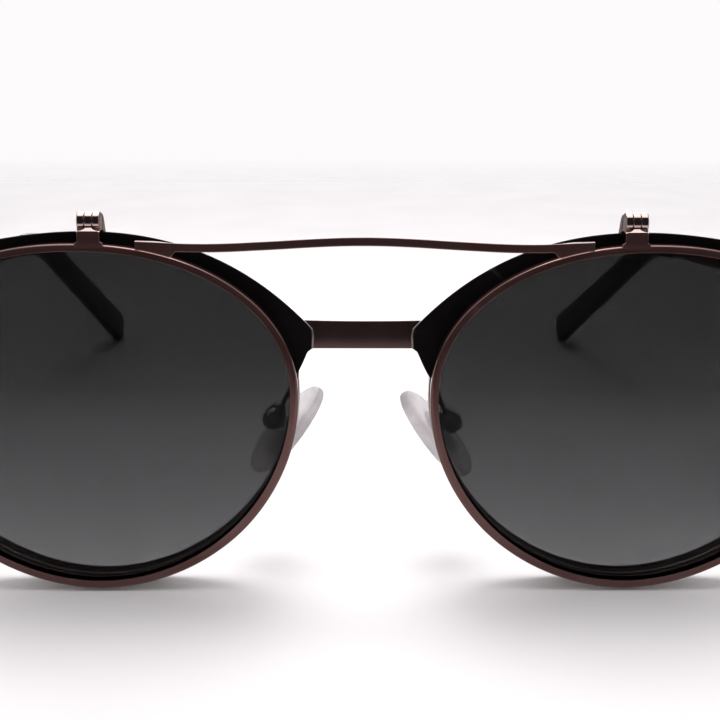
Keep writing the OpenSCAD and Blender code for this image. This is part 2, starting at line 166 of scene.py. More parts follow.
# Flip hinge in mm from its pin: half-widths in x, the hook's foot and strap in y and z, and for the
# leaf rows of z, front y and half-width
KNUCKLE_R = 1.2
HOOK_HALF = 1.43
HOOK_GAP = 0.53
LEAF_HALF = 0.47
LEAF_T = 0.55
PIN_R = 0.45
HINGE_BEVEL = 0.1
HINGE_SHIFT = {"left": -0.04 * MM, "right": -0.45 * MM}
HOOK_FOOT = ((-1.0, -1.2), (1.36, -1.2), (1.36, 0.5), (-0.6, 0.5))
HOOK_STRAP = ((0.9, 0.85), (1.32, 0.8), (1.75, 0.6), (2.2, 0.2), (2.6, -0.4), (2.9, -1.1),
              (3.25, -1.8), (3.8, -2.2), (4.9, -2.6), (4.95, -2.8), (4.95, -4.15), (4.35, -4.15),
              (4.35, -2.75), (3.9, -2.5), (3.3, -2.25), (2.6, -1.95), (1.32, -1.4), (0.9, -1.2))
SLEEVE_TOP = -2.9
LEAF_TONGUE = ((-0.45, -0.88, 0.5), (-0.62, -1.06, 0.5), (-0.75, -1.2, 0.54), (-0.87, -1.33, 0.7),
               (-0.97, -1.43, 0.98), (-1.04, -1.5, 1.25), (-1.1, -1.55, 1.39), (-1.18, -1.57, 1.42))
LEAF_PLATE = ((-1.18, -1.57, 1.42), (-1.3, -1.56, 1.425), (-2.3, -1.54, 1.43), (-2.42, -1.54, 1.47),
              (-2.5, -1.53, 1.56), (-2.56, -1.53, 1.7), (-2.62, -1.52, 1.8), (-3.2, -1.52, 1.8))

# CAD nodes that stay: their slots, and the bevels in mm that differ from the usual one
NODE_SLOTS = {
    "rim_screw": "steel", "pad_screw": "steel", "hinge_screw": "steel", "endpiece_rivets": "steel",
    "pad_core": "pad_core", "endpiece": "bronze_metal", "front_leaf": "rose_metal",
    "temple_leaf": "rose_metal",
}
NODE_BEVEL = 0.08
NODE_BEVELS = {"pad_core": 0.15, "endpiece": 0.25, "front_leaf": 0.1, "temple_leaf": 0.1}

# Camera, from the front of the box round the spectacles
CAMERA_SIDE = -0.0028
CAMERA_AWAY = 0.1612
CAMERA_HEIGHT = 0.0745
CAMERA_PITCH = 14.71
CAMERA_YAW = 0.78
CAMERA_ROLL = 0.28
CAMERA_LENS = 65.4

# The floor fades out between these values of y in front and behind, and a painted shade darkens it behind
# the spectacles
FLOOR_FRONT = (-0.14, -0.18)
FLOOR_BACK = (0.16, 0.48)
FLOOR_SHADE = (0.14, 0.23)
FLOOR_RADIUS = 2.5
FLOOR_BELOW = 0.0002

# Light: the even part, the white that the camera sees, and what reflections see from front to back
WARM_WHITE = (1.0, 0.985, 0.99)
SEEN_WHITE = (0.985, 0.965, 0.972)
SOFT_LIGHT = 0.55
MIRRORED_FROM = (-0.35, 0.02)
MIRRORED_TO = (0.6, 2.1)


# ---------------------------------------------------------------- shapes

def bow(value, power):
    """A sine or cosine bent for a superellipse."""
    return math.copysign(abs(value) ** (2 / power), value)


class Rim:
    """The outline shared by a rim and its clip rim: a point of it, moved inwards, in x and z."""

    def __init__(self, side, node, clip_node):
        low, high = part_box(clip_node)
        self.side = SIDES[side]
        self.x = (low.x + high.x) / 2
        self.half = (high.x - low.x) / 2
        self.drop = (high.z - low.z) * WIDEST
        self.rise = (high.z - low.z) - self.drop
        self.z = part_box(node)[0].z + self.drop

    def edge(self, angle):
        up = math.sin(angle) > 0
        power = RISE_POWER if up else DROP_POWER
        z = (self.rise if up else self.drop) * bow(math.sin(angle), power)
        return Vector((self.half * bow(math.cos(angle), power) + LEAN * z, z))

    def point(self, angle, inset=0.0):
        step = math.radians(1)
        along = self.edge(angle + step) - self.edge(angle - step)
        p = self.edge(angle) - inset * Vector((along.y, -along.x)) / along.length
        return Vector((self.x + self.side * p.x, self.z + p.y))

    def points(self, inset=0.0, steps=RIM_STEPS):
        return [self.point(2 * math.pi * i / steps, inset) for i in range(steps)]

    def reach(self, points):
        """How far an outline reaches from the rim's centre, as a function of the direction."""
        d = [((p[0] - self.x) * self.side, p[1] - self.z) for p in points]
        turn = np.array([math.atan2(v, u) % (2 * math.pi) for u, v in d])
        far = np.array([math.hypot(u, v) for u, v in d])
        order = np.argsort(turn)
        return lambda a: float(np.interp(a, turn[order], far[order], period=2 * math.pi))


def bezier(points, steps):
    """A cubic curve through its two end points, pulled by the two between."""
    p = [Vector(q) for q in points]
    out = []
    for i in range(steps + 1):
        t = i / steps
        a, b, c, d = (1 - t) ** 3, 3 * t * (1 - t) ** 2, 3 * t * t * (1 - t), t ** 3
        out.append(a * p[0] + b * p[1] + c * p[2] + d * p[3])
    return out


def fillet(points, radii, steps=4, closed=True):
    """The polygon with each corner rounded to its radius, as far as its edges allow."""
    p = [Vector(q) for q in points]
    n = len(p)
    radii = radii if hasattr(radii, "__len__") else [radii] * n
    out = []
    for i in range(n):
        if not closed and i in (0, n - 1):
            out.append(p[i])
            continue
        before, here, after = p[i - 1], p[i], p[(i + 1) % n]
        u, v = (before - here), (after - here)
        angle = u.angle(v)
        if radii[i] <= 0 or angle > math.pi - 0.02:
            out.append(here)
            continue
        cut = min(radii[i] / math.tan(angle / 2), 0.48 * u.length, 0.48 * v.length)
        a, b = here + cut * u.normalized(), here + cut * v.normalized()
        for k in range(steps + 1):
            t = k / steps
            out.append((1 - t) ** 2 * a + 2 * t * (1 - t) * here + t * t * b)
    return out


def hold_flat(points, long):
    """Extra points by both ends of the long edges, so that smooth shading leaves the flats flat."""
    out = []
    for here, after in zip(points, points[1:] + points[:1]):
        out.append(here)
        if (after - here).length > long:
            out += [here.lerp(after, share) for share in (0.06, 0.94)]
    return out


def mesh_object(name, verts, faces, sharp=None):
    """A smooth-shaded object, with sharp edges above the given angle."""
    mesh = bpy.data.meshes.new(name)
    mesh.from_pydata([tuple(v) for v in verts], [], faces)
    mesh.update()
    mesh.validate()
    obj = bpy.data.objects.new(name, mesh)
    bpy.context.scene.collection.objects.link(obj)
    outward(mesh)
    mesh.polygons.foreach_set("use_smooth", [True] * len(mesh.polygons))
    if sharp:
        mesh.set_sharp_from_angle(angle=math.radians(sharp))
    return obj


def outward(mesh):
    """Turn every face outwards."""
    bm = bmesh.new()
    bm.from_mesh(mesh)
    bmesh.ops.recalc_face_normals(bm, faces=bm.faces)
    bm.to_mesh(mesh)
    bm.free()


def loft(name, sections, ring=False, sharp=None):
    """A skin over closed sections of equal length, in a ring or capped at both ends."""
    n, m = len(sections), len(sections[0])
    verts = [v for section in sections for v in section]
    faces = []
    for i in range(n if ring else n - 1):
        for k in range(m):
            j, l = (i + 1) % n, (k + 1) % m
            faces.append((i * m + k, j * m + k, j * m + l, i * m + l))
    if not ring:
        faces.append(tuple(range(m)))
        faces.append(tuple(range((n - 1) * m, n * m)))
    return mesh_object(name, verts, faces, sharp)


def finish_piece(obj, body, slot, *nodes, look=None):
    """Material, body and the nodes that the piece stands for."""
    obj.data.materials.append(MATERIALS[look or slot])
    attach(obj, body)
    if nodes:
        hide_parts(*nodes)


def centre_on(obj, node):
    """Shift a piece so that its box is centred on the node's box."""
    low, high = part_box(node)
    co = np.array([v.co for v in obj.data.vertices])
    shift = (low + high) / 2 - Vector((co.min(0) + co.max(0)) / 2)
    obj.data.transform(Matrix.Translation(shift))


# ---------------------------------------------------------------- materials

class Nodes:
    """Short calls for building a material's node tree."""

    def __init__(self, name):
        self.material = bpy.data.materials.new(name)
        self.material.use_nodes = True
        self.tree = self.material.node_tree
        self.shader = self.tree.nodes["Principled BSDF"]
        self.place = self.add("ShaderNodeTexCoord").outputs["Object"]

    def add(self, kind, **values):
        node = self.tree.nodes.new(kind)
        for key, value in values.items():
            setattr(node, key, value)
        return node

    def link(self, a, b):
        self.tree.links.new(a, b)

    def scaled(self, scale):
        mapping = self.add("ShaderNodeMapping")
        mapping.inputs["Scale"].default_value = scale
        self.link(self.place, mapping.inputs["Vector"])
        return mapping.outputs["Vector"]

    def noise(self, scale, detail=3.0, stretch=None):
        node = self.add("ShaderNodeTexNoise")
        node.inputs["Scale"].default_value = scale
        node.inputs["Detail"].default_value = detail
        self.link(self.scaled(stretch) if stretch else self.place, node.inputs["Vector"])
        return node.outputs["Fac"]

    def ramp(self, value, stops):
        node = self.add("ShaderNodeValToRGB")
        ramp = node.color_ramp
        while len(ramp.elements) < len(stops):
            ramp.elements.new(0.5)
        for element, (at, colour) in zip(ramp.elements, stops):
            element.position = at
            element.color = (*colour, 1)
        self.link(value, node.inputs["Fac"])
        return node.outputs["Color"]

    def spread(self, value, low, high, into_low=0.3, into_high=0.7):
        node = self.add("ShaderNodeMapRange")
        numbers = {"From Min": into_low, "From Max": into_high, "To Min": low, "To Max": high}
        for key, number in numbers.items():
            node.inputs[key].default_value = number
        self.link(value, node.inputs["Value"])
        return node.outputs["Result"]

    def mix(self, share, a, b):
        node = self.add("ShaderNodeMix", data_type="RGBA")
        self.link(share, node.inputs["Factor"])
        for key, value in (("A", a), ("B", b)):
            socket = [s for s in node.inputs if s.name == key and s.type == "RGBA"][0]
            if hasattr(value, "__len__"):
                socket.default_value = (*value, 1)
            else:
                self.link(value, socket)
        return [s for s in node.outputs if s.type == "RGBA"][0]

    def multiply(self, a, b):
        node = self.add("ShaderNodeMath", operation="MULTIPLY")
        self.link(a, node.inputs[0])
        self.link(b, node.inputs[1])
        return node.outputs["Value"]

    def edges(self):
        """Nothing on flats, full on worn convex edges."""
        geometry = self.add("ShaderNodeNewGeometry")
        return self.spread(geometry.outputs["Pointiness"], 0, 1, 0.507, 0.595)

    def bump(self, height, strength, distance):
        node = self.add("ShaderNodeBump")
        node.inputs["Strength"].default_value = strength
        node.inputs["Distance"].default_value = distance
        self.link(height, node.inputs["Height"])
        self.link(node.outputs["Normal"], self.shader.inputs["Normal"])

    def set(self, **values):
        for key, value in values.items():
            self.shader.inputs[key.replace("_", " ")].default_value = value


def metal(name, dark, light, roughness, brushed=(1, 1, 1), metallic=1.0):
    """Plated metal: drifting tint, fine brushing, fingerprints in the gloss, rubbed edges."""
    m = Nodes(name)
    base = m.mix(m.spread(m.noise(140, 4), 0, 1), dark, light)
    rubbed = tuple(min(1, c * 1.35) for c in light)
    m.link(m.mix(m.edges(), base, rubbed), m.shader.inputs["Base Color"])
    grain = m.noise(5200, 2, brushed)
    smears = m.noise(420, 3)
    m.link(m.spread(m.multiply(grain, smears), roughness * 0.75, roughness * 1.3, 0.12, 0.45),
           m.shader.inputs["Roughness"])
    m.bump(grain, 0.12, 0.00002)
    m.set(Metallic=metallic)
    return m.material


def acetate(name, dark, light, roughness, specular=0.35):
    """Plastic or rubber: faint clouding, hairline scuffs, slightly paler rubbed edges."""
    m = Nodes(name)
    base = m.mix(m.spread(m.noise(180, 5), 0, 1), dark, light)
    rubbed = tuple(c * 1.8 + 0.01 for c in light)
    m.link(m.mix(m.edges(), base, rubbed), m.shader.inputs["Base Color"])
    scuffs = m.noise(900, 6, (1, 1, 9))
    m.link(m.spread(scuffs, roughness * 0.85, roughness * 1.2), m.shader.inputs["Roughness"])
    m.bump(m.noise(2600, 3), 0.08, 0.00003)
    m.set(Specular_IOR_Level=specular)
    return m.material


def pane(m, tint, roughness, ior):
    """Thin glass: light passes straight through with a tint, and the surface mirrors by Fresnel."""
    clear = m.add("ShaderNodeBsdfTransparent")
    m.link(tint, clear.inputs["Color"])
    gloss = m.add("ShaderNodeBsdfGlossy")
    m.link(m.spread(m.noise(600, 4), roughness * 0.6, roughness * 1.6), gloss.inputs["Roughness"])
    fresnel = m.add("ShaderNodeFresnel")
    fresnel.inputs["IOR"].default_value = ior
    mix = m.add("ShaderNodeMixShader")
    m.link(fresnel.outputs["Fac"], mix.inputs["Fac"])
    m.link(clear.outputs[0], mix.inputs[1])
    m.link(gloss.outputs[0], mix.inputs[2])
    m.tree.nodes.remove(m.shader)
    m.link(mix.outputs[0], m.tree.nodes["Material Output"].inputs["Surface"])
    return m.material


def tinted_lens(name, low, high, stops):
    """Grey glass, paler towards the bottom: stops run from the lowest height to the highest."""
    m = Nodes(name)
    split = m.add("ShaderNodeSeparateXYZ")
    m.link(m.place, split.inputs["Vector"])
    drift = m.add("ShaderNodeMath", operation="ADD")
    m.link(m.spread(split.outputs["Z"], 0.0, 1.0, low, high), drift.inputs[0])
    m.link(m.spread(m.noise(60, 3), -0.012, 0.012), drift.inputs[1])
    return pane(m, m.ramp(drift.outputs["Value"], stops), 0.03, 1.22)


def clear_glass(name):
    """Clear coated lens with a faint cool cast."""
    m = Nodes(name)
    cast = m.mix(m.noise(60, 2), (0.955, 0.965, 0.965), (0.975, 0.985, 0.98))
    return pane(m, cast, 0.03, 1.3)


def silicone(name):
    """Soft clear silicone: milky clouds inside, dust in the gloss."""
    m = Nodes(name)
    cloud, dust = m.noise(420, 3), m.noise(1500, 6)
    milk = m.mix(m.spread(cloud, 0, 1), (0.56, 0.52, 0.53), (0.82, 0.79, 0.8))
    m.link(milk, m.shader.inputs["Base Color"])
    m.link(m.spread(dust, 0.3, 0.5), m.shader.inputs["Roughness"])
    m.bump(cloud, 0.1, 0.0001)
    m.set(Transmission_Weight=0.8, IOR=1.41)
    return m.material


METALS = {
    "bronze_metal": ((0.095, 0.045, 0.042), (0.13, 0.07, 0.065), 0.17, (1, 1, 6), 0.72),
    # a darker copy of the bronze for the bridge: painted shade
    "shaded_bronze": ((0.07, 0.038, 0.038), (0.1, 0.06, 0.058), 0.15, (1, 1, 6), 0.8),
    # a lighter copy of the bronze for the painted highlight round the brows' shoulders
    "highlight_bronze": ((0.16, 0.14, 0.135), (0.22, 0.2, 0.19), 0.3, (1, 1, 6), 0.5),
    "rose_metal": ((0.34, 0.23, 0.215), (0.44, 0.33, 0.31), 0.13, (4, 1, 1)),
    "steel": ((0.58, 0.57, 0.57), (0.74, 0.73, 0.72), 0.2),
    "dark_screw": ((0.03, 0.03, 0.032), (0.06, 0.06, 0.062), 0.3),
}
PLASTICS = {
    # a dull dark brown for the hook's metal strap: painted shade on its sides
    "shaded_strap": ((0.085, 0.052, 0.045), (0.12, 0.078, 0.068), 0.6, 0.12),
    "brow_black": ((0.0036, 0.0029, 0.0032), (0.006, 0.0046, 0.005), 0.5, 0.04),
    "tip_black": ((0.010, 0.006, 0.006), (0.02, 0.012, 0.011), 0.3),
    "box_black": ((0.003, 0.003, 0.0032), (0.008, 0.008, 0.009), 0.35),
    "sleeve_rubber": ((0.012, 0.012, 0.013), (0.024, 0.024, 0.025), 0.6, 0.2),
    "pad_core": ((0.62, 0.62, 0.63), (0.74, 0.74, 0.75), 0.35, 0.5),
}
SUN_TINTS = ((0.0, (0.385, 0.385, 0.39)), (0.25, (0.278, 0.278, 0.283)),
             (0.55, (0.192, 0.192, 0.196)), (0.75, (0.155, 0.155, 0.158)))


def make_materials():
    materials = {name: metal(name, *values) for name, values in METALS.items()}
    materials.update((name, acetate(name, *values)) for name, values in PLASTICS.items())
    sun_low, sun_high = (corner.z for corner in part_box("left_sun_lens"))
    materials["sun_lens"] = tinted_lens("sun_lens", sun_low, sun_high, SUN_TINTS)
    materials["clear_lens"] = clear_glass("clear_lens")
    materials["silicone"] = silicone("silicone")
    return materials


# ---------------------------------------------------------------- pieces

def clip_trim(angle):
    """How far the clip rim's outer edge is drawn in: narrow on top, fuller low on the nose side."""
    degrees = math.degrees(angle) % 360
    return MM * float(np.interp(degrees, (0, 40, 90, 140, 180, 200, 225, 250, 300, 360),
                                (0, 0.05, 0.16, 0.22, 0.05, -0.08, -0.16, -0.06, 0, 0)))


def rim_ring(name, rim, front, back, face, groove, inner_r, outer_r, trim=None):
    """A rim with rounded edges and a groove that holds the lens."""
    floor = face - GROOVE_DEPTH
    profile = [(0, front), (face, front), (face, groove[0]), (floor, groove[0]),
               (floor, groove[1]), (face, groove[1]), (face, back), (0, back)]
    radii = [outer_r, inner_r, GROOVE_EDGE_R, 0, 0, GROOVE_EDGE_R, inner_r, outer_r * 0.8]
    profile = hold_flat(fillet(profile, radii, 4), 0.3 * MM)
    sections = []
    for i in range(RIM_STEPS):
        angle = 2 * math.pi * i / RIM_STEPS
        section = []
        drawn_in = trim(angle) if trim else 0
        for inset, y in profile:
            p = rim.point(angle, inset + drawn_in * (1 - inset / face))
            section.append(Vector((p.x, y, p.y)))
        sections.append(section)
    return loft(name, sections, ring=True, sharp=42)


def optical_rim(side, rim):
    """The spectacle's own rim, with its closing blocks and the two lugs that carry the brow."""
    low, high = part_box(side + "_rim")
    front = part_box(side + "_brow")[0].y + BROW_SKIN
    groove = [front + depth for depth in RIM_GROOVE]
    ring = rim_ring(side + "_rim_ring", rim, front, front + RIM_DEPTH, RIM_FACE, groove,
                    RIM_EDGE_R, RIM_EDGE_R)
    finish_piece(ring, "frame", "bronze_metal", side + "_rim")

    outer = max(abs(low.x), abs(high.x)) / MM
    parts = []
    for foot in BLOCK_FEET:
        parts.append((rectangle(BLOCK_DEPTH, (foot, foot + BLOCK_H)), outer - BLOCK_REACH, outer))
    for (x0, x1), heights in LUGS:
        parts.append((rectangle(LUG_DEPTH, heights), x0, x1))
    blocks = prisms(side + "_rim_blocks", parts, BLOCK_BEVEL)
    mirror = Matrix.Diagonal((rim.side * MM, MM, MM, 1))
    blocks.data.transform(Matrix.Translation((0, front, low.z)) @ mirror)
    outward(blocks.data)
    finish_piece(blocks, "frame", "bronze_metal", side + "_rim")


def rectangle(depths, heights):
    (y0, y1), (z0, z1) = depths, heights
    return [(y0, z0), (y1, z0), (y1, z1), (y0, z1)]


def lens(name, rim, apex, thickness, rings=28):
    """A spherical shell out to the lens's edge."""
    edge = rim.points(LENS_INSET)
    verts = []
    for back in (0, thickness):
        verts.append(Vector((rim.x, apex + back, rim.z)))
        for j in range(1, rings + 1):
            for p in edge:
                x, z = (p.x - rim.x) * j / rings, (p.y - rim.z) * j / rings
                sag = LENS_CURVE - math.sqrt(LENS_CURVE ** 2 - x * x - z * z)
                verts.append(Vector((rim.x + x, apex + back + sag, rim.z + z)))
    n, faces = len(edge), []
    for start in (0, 1 + rings * n):
        for k in range(n):
            l = (k + 1) % n
            faces.append((start, start + 1 + k, start + 1 + l))
            for j in range(rings - 1):
                a, b = start + 1 + j * n, start + 1 + (j + 1) * n
                faces.append((a + k, b + k, b + l, a + l))
    outer = 1 + (rings - 1) * n
    for k in range(n):
        l = (k + 1) % n
        far = outer + 1 + rings * n
        faces.append((outer + k, outer + l, far + l, far + k))
    return mesh_object(name, verts, faces, 40)


def brow_outline(rim):
    """The brow's outer edge from its nasal end to its temple end, corners rounded."""
    nasal = fillet(BROW_INNER_END + (BROW_TOP[0],), (0, 0.4, 0.4, 0.4, 0.8, 0), closed=False)[:-1]
    temple = fillet((BROW_TOP[3],) + BROW_OUTER_END, 1.2, closed=False)
    line = nasal + bezier(BROW_TOP, 90) + temple[1:]
    shift = [float(np.interp(p.x, (20, 45), (BROW_SHIFT, 0))) for p in line]
    return [Vector((rim.side * p.x + dx, p.y)) * MM for p, dx in zip(line, shift)]


def brow(side, rim):
    """The black brow, swept round the rim as a section that changes with the direction."""
    node = side + "_brow"
    low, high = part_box(node)
    outline = brow_outline(rim)
    outer, edge, skin = (rim.reach(p) for p in (outline, rim.points(-0.02 * MM), rim.points(SKIN_INSET)))
    front, channel, back = low.y, low.y + BROW_SKIN, high.y
    turns = [math.atan2(p.y - rim.z, (p.x - rim.x) * rim.side) for p in outline]
    sections = []
    for turn in resample(turns, outline, BROW_STEP):
        far = max(outer(turn), edge(turn) + 0.05 * MM)
        wide = far - edge(turn)
        fall = min(BROW_FALL, 0.7 * wide)
        start = skin(turn)
        hold = min(0.4 * MM, 0.45 * (far - start))
        section = [(start, front), (start + hold, front), (far - hold, front), (far, front),
                   (far - fall, back), (edge(turn), back), (edge(turn), channel), (start, channel)]
        rounding = min(BROW_EDGE_R, 0.4 * wide)
        radii = [0.2 * MM, 0, 0, rounding, rounding, min(0.1 * MM, 0.2 * wide), 0, 0.1 * MM]
        away = Vector((rim.side * math.cos(turn), math.sin(turn)))
        sections.append([Vector((rim.x + away.x * r, y, rim.z + away.y * r))
                         for r, y in fillet(section, radii)])
    finish_piece(loft(node + "_shell", sections, sharp=50), "frame", "brow_black", node)

    # a thin lighter metal line stands in for the highlight on the brow's shoulder: a painted highlight
    shoulder = [p for p in outline if 32.6 * MM < p.y < 37.2 * MM and abs(p.x) < 9 * MM]
    line = shoulder_highlight(side + "_brow_highlight_line", rim, shoulder, front)
    finish_piece(line, "frame", "bronze_metal", look="highlight_bronze")


def shoulder_highlight(name, rim, shoulder, front):
    """A painted highlight: the thin lighter line round a brow's shoulder by the bridge, fading out at its
    ends.
    """
    sections = []
    for i, p in enumerate(shoulder):
        before, after = shoulder[max(i - 1, 0)], shoulder[min(i + 1, len(shoulder) - 1)]
        along = (after - before).normalized()
        inwards = Vector((along.y, -along.x)) * rim.side
        fade = math.sin(math.pi * (i + 0.6) / (len(shoulder) + 0.2)) ** 0.4
        centre = p + inwards * SHOULDER_IN
        sections.append([Vector((centre.x + inwards.x * r, y, centre.y + inwards.y * r))
                         for y, r in circle(front + SHOULDER_BACK, 0, SHOULDER_R * fade, 10)])
    return loft(name, sections)


def resample(turns, outline, step):
    """Directions along the outline, evenly spaced by distance."""
    lengths = [0.0]
    for a, b in zip(outline, outline[1:]):
        lengths.append(lengths[-1] + (b - a).length)
    count = int(lengths[-1] / step)
    return [float(np.interp(lengths[-1] * i / count, lengths, turns)) for i in range(count + 1)]


def bar_section(half_h, half_t, rounding, fall=0.0):
    """A rounded bar's section, its top falling towards the back."""
    corners = [(-half_t, -half_h), (half_t, -half_h), (half_t, half_h - fall), (-half_t, half_h)]
    return fillet(corners, rounding)


def bridge():
    """A flat bar between the brows, its top falling towards the back and a little hollow."""
    low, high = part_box("bridge")
    middle_z, half_h = (low.z + high.z) / 2, (high.z - low.z) / 2 + BRIDGE_TALLER
    middle_y, half_t = (low.y + high.y) / 2, (high.y - low.y) / 2
    sections = []
    for i in range(33):
        x = BRIDGE_REACH * (i / 16 - 1)
        hollow = BRIDGE_HOLLOW * (1 - (x / BRIDGE_REACH) ** 2)
        corners = bar_section(half_h - hollow / 2, half_t, BRIDGE_EDGE_R, BRIDGE_FALL)
        sections.append([Vector((x, middle_y + t, middle_z - hollow / 2 + h)) for t, h in corners])
    bar = loft("bridge_bar", sections, sharp=50)
    # the bridge is the rims' bronze, darkened as painted shade
    finish_piece(bar, "frame", "bronze_metal", "bridge", look="shaded_bronze")


def brow_bar(clip):
    """The clip's waved bar: its top falls towards the back except near its ends, which stand on the rims."""
    low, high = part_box("brow_bar")
    middle_z = high.z - BAR_HALF_H - BAR_MARGIN + BAR_LIFT
    middle_y, half_t = (low.y + high.y) / 2, (high.y - low.y) / 2
    outline = sorted((abs(p.x), p.y) for p in clip.points() if p.y > clip.z)
    rim_x, rim_z = zip(*outline)
    sections = []
    for i in range(181):
        x = high.x * (i / 90 - 1)
        droop = float(np.interp(abs(x), (BAR_DROOP_FROM, high.x), (0, BAR_DROOP)))
        z = middle_z + BAR_WAVE * math.cos(math.pi * x / BAR_HALF_WAVE) - droop
        fall = float(np.interp(abs(x), BAR_FALL_ENDS, (BAR_FALL, 0)))
        foot = float(np.interp(abs(x), rim_x, rim_z)) - BAR_SINK
        stands = float(np.interp(abs(x), BAR_FOOT, (0, 1)))
        extra = stands * max(z - BAR_HALF_H - foot, 0) / 2
        corners = bar_section(BAR_HALF_H + extra, half_t, BAR_EDGE_R, fall)
        sections.append([Vector((x, middle_y + t, z - extra + h)) for t, h in corners])
    finish_piece(loft("brow_bar_rail", sections, sharp=50), "clip_front", "bronze_metal", "brow_bar")


def prisms(name, parts, bevel):
    """Closed shapes in one mesh with bevelled edges: each a profile in y and z drawn from x0 to x1."""
    verts, faces = [], []
    for profile, x0, x1 in parts:
        start, n = len(verts), len(profile)
        verts += [Vector((x, y, z)) for x in (x0, x1) for y, z in profile]
        faces.append(tuple(start + k for k in range(n)))
        faces.append(tuple(start + n + k for k in reversed(range(n))))
        for k in range(n):
            l = (k + 1) % n
            faces.append((start + k, start + n + k, start + n + l, start + l))
    obj = mesh_object(name, verts, faces)
    add_bevel(obj, bevel * MM)
    return obj


def add_bevel(obj, width):
    bevel = obj.modifiers.new("Bevel", "BEVEL")
    bevel.width = width
    bevel.segments = 3
    bevel.limit_method = "ANGLE"
    bevel.angle_limit = math.radians(40)
    bevel.harden_normals = True


def circle(y, z, r, steps=40):
    return [(y + r * math.cos(2 * math.pi * i / steps), z + r * math.sin(2 * math.pi * i / steps))
            for i in range(steps)]


def flip_hinge(side):
    """The hook with its sleeve, pin and two knuckles, and the clip's leaf."""
    low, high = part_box(side + "_hook")
    pin_low, pin_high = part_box(side + "_flip_pin")
    middle = (low.x + high.x) / 2 + HINGE_SHIFT[side]
    origin = Vector((middle, (pin_low.y + pin_high.y) / 2, (pin_low.z + pin_high.z) / 2))

    knuckle, wide = circle(0, 0, KNUCKLE_R), HOOK_HALF
    barrels = [(knuckle, 0.05 - wide, -HOOK_GAP), (knuckle, HOOK_GAP, wide - 0.05)]
    hinge_piece(side, "_hook_knuckles", barrels, origin, "clip_mount", "_hook")
    # the strap is the hook's metal, given a dull dark brown as painted shade
    hinge_piece(side, "_hook_strap", hook_strap(), origin, "clip_mount", "_hook", look="shaded_strap")
    rod = [(circle(0, 0, PIN_R), 0.1 - wide, wide - 0.1)]
    hinge_piece(side, "_flip_rod", rod, origin, "clip_mount", "_flip_pin")
    leaf_knuckle = [(knuckle, -LEAF_HALF, LEAF_HALF)]
    hinge_piece(side, "_flip_knuckle", leaf_knuckle, origin, "clip_front", "_flip_leaf")
    hinge_piece(side, "_hook_sleeve_soft", sleeve(side, origin), origin, "clip_mount", "_hook_sleeve",
                slot="sleeve_rubber")
    flip_leaf(side, "_flip_tongue", LEAF_TONGUE, origin, None)
    flip_leaf(side, "_flip_plate", LEAF_PLATE, origin, "bronze_metal")


def hinge_piece(side, name, parts, origin, body, node, slot="rose_metal", look=None):
    """Prisms measured in mm from the hinge's pin."""
    piece = prisms(side + name, parts, HINGE_BEVEL)
    piece.data.transform(Matrix.Translation(origin) @ Matrix.Scale(MM, 4))
    finish_piece(piece, body, slot, side + node, look=look)


def hook_strap():
    """The strap over the brow, with the feet under its knuckles and their side cheeks."""
    cheek, wide, inner = circle(0, 0, KNUCKLE_R - 0.02), HOOK_HALF, 1.3
    return [(HOOK_FOOT, -wide, -HOOK_GAP), (HOOK_FOOT, HOOK_GAP, wide), (HOOK_STRAP, -wide, wide),
            (cheek, 0.01 - wide, -inner), (cheek, inner, wide - 0.01)]


def sleeve(side, origin):
    """The soft sleeve round the hook's back leg."""
    low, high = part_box(side + "_hook_sleeve")
    depths = [(corner.y - origin.y) / MM for corner in (low, high)]
    half = (high.x - low.x) / 2 / MM
    return [(rectangle(depths, ((low.z - origin.z) / MM, SLEEVE_TOP)), -half, half)]


def flip_leaf(side, name, rows, origin, look):
    """A part of the clip's leaf, lofted downwards from the hinge's pin."""
    sections = []
    for z, y, half in rows:
        corners = [(-half, y), (half, y), (half, y + LEAF_T), (-half, y + LEAF_T)]
        rounded = fillet(corners, [0.2, 0.2, 0.05, 0.05])
        sections.append([origin + MM * Vector((x, depth, z)) for x, depth in rounded])
    leaf = loft(side + name, sections, sharp=60)
    finish_piece(leaf, "clip_front", "rose_metal", side + "_flip_leaf", look=look)


def temple_angle(s):
    """The temple's slope at a distance along it."""
    share = min(max((s - BEND[0]) / (BEND[1] - BEND[0]), 0), 1)
    return math.radians(-TEMPLE_FALL - (EAR_FALL - TEMPLE_FALL) * share)


def temple_line(stations):
    """The temple's centre line in its own plane, at the given distances."""
    out, s, p = [], 0.0, Vector((0, 0))
    for station in stations:
        while s < station - 1e-6:
            ds = min(0.5, station - s)
            a = temple_angle(s + ds / 2)
            p = p + ds * Vector((math.cos(a), math.sin(a)))
            s += ds
        out.append(p.copy())
    return out


def temple_band(name, side, root, lean, stations, halves, half_ts, rounding):
    """A swept bar with a rounded section along part of the temple's line."""
    sections = []
    for s, p, half_h, half_t in zip(stations, temple_line(stations), halves, half_ts):
        a = temple_angle(s)
        across = Vector((-math.sin(a), math.cos(a)))
        section = []
        for t, h in bar_section(half_h, half_t, rounding):
            q = p + h * across
            x = ARM_T / 2 + t
            section.append(Vector((
                side * (root.x + (x * math.cos(lean) - q.x * math.sin(lean)) * MM),
                root.y + (q.x * math.cos(lean) + x * math.sin(lean)) * MM,
                root.z + q.y * MM)))
        sections.append(section)
    return loft(name, sections, sharp=50)


